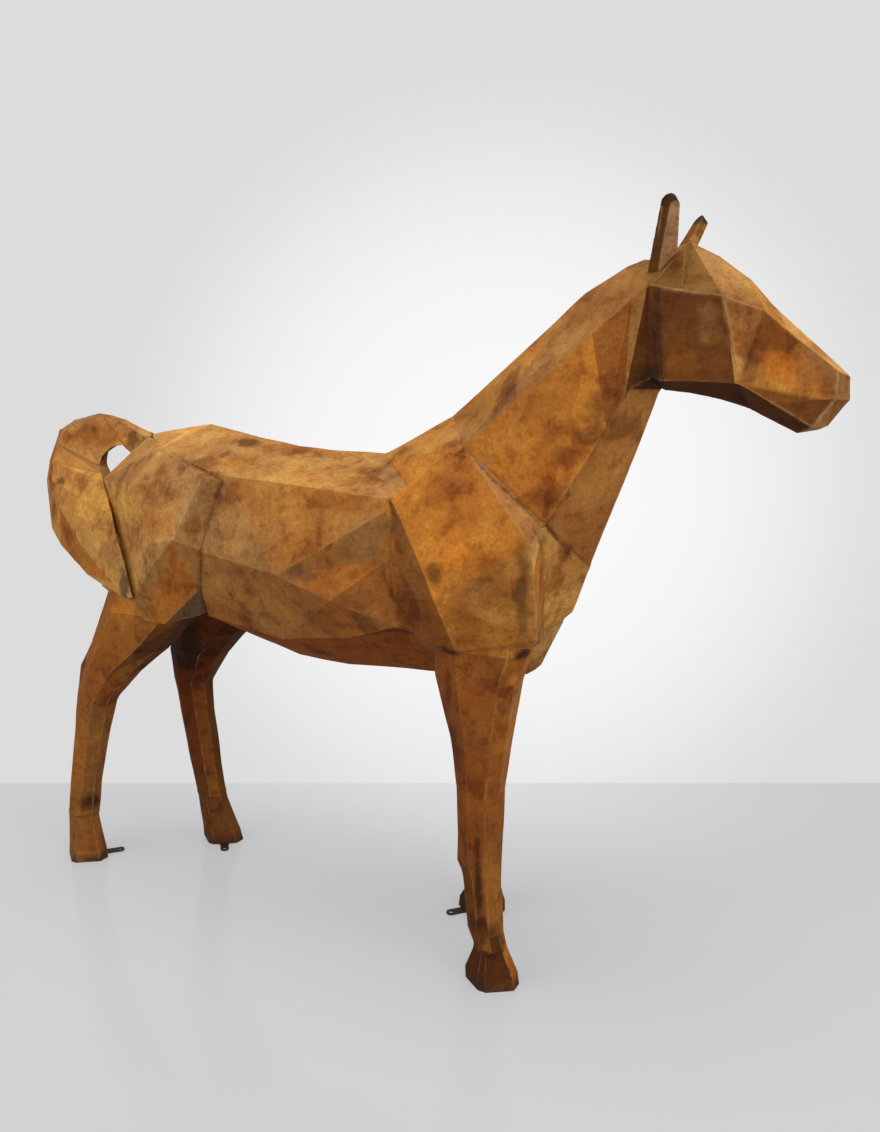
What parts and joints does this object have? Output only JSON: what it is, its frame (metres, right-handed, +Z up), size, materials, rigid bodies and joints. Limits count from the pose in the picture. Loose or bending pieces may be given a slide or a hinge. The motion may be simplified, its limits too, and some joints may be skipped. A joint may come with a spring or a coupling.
{
  "type": "weathering steel horse sculpture",
  "caption": "Life-size standing horse, welded from flat faceted plates of weathering steel, with an arched tail, upright ears and a drilled anchor tab at each hoof.",
  "frame": {"origin": "on the ground, below the middle of the whole sculpture", "axes": "+X along the horse towards its head, +Y towards its left side, +Z up; it stands on z = 0"},
  "size_m": [2.575, 0.574, 2.0599],
  "materials": {
    "weathering_steel": "matte rust patina",
    "anchor_steel": "dark, satin"
  },
  "bodies": {
    "root": {"horse": "weathering_steel", "tail": "weathering_steel", "right_ear": "weathering_steel", "left_ear": "weathering_steel", "anchor_tab_right_fore": "anchor_steel", "anchor_tab_left_fore": "anchor_steel", "anchor_tab_right_hind": "anchor_steel", "anchor_tab_left_hind": "anchor_steel"}
  },
  "joints": []
}
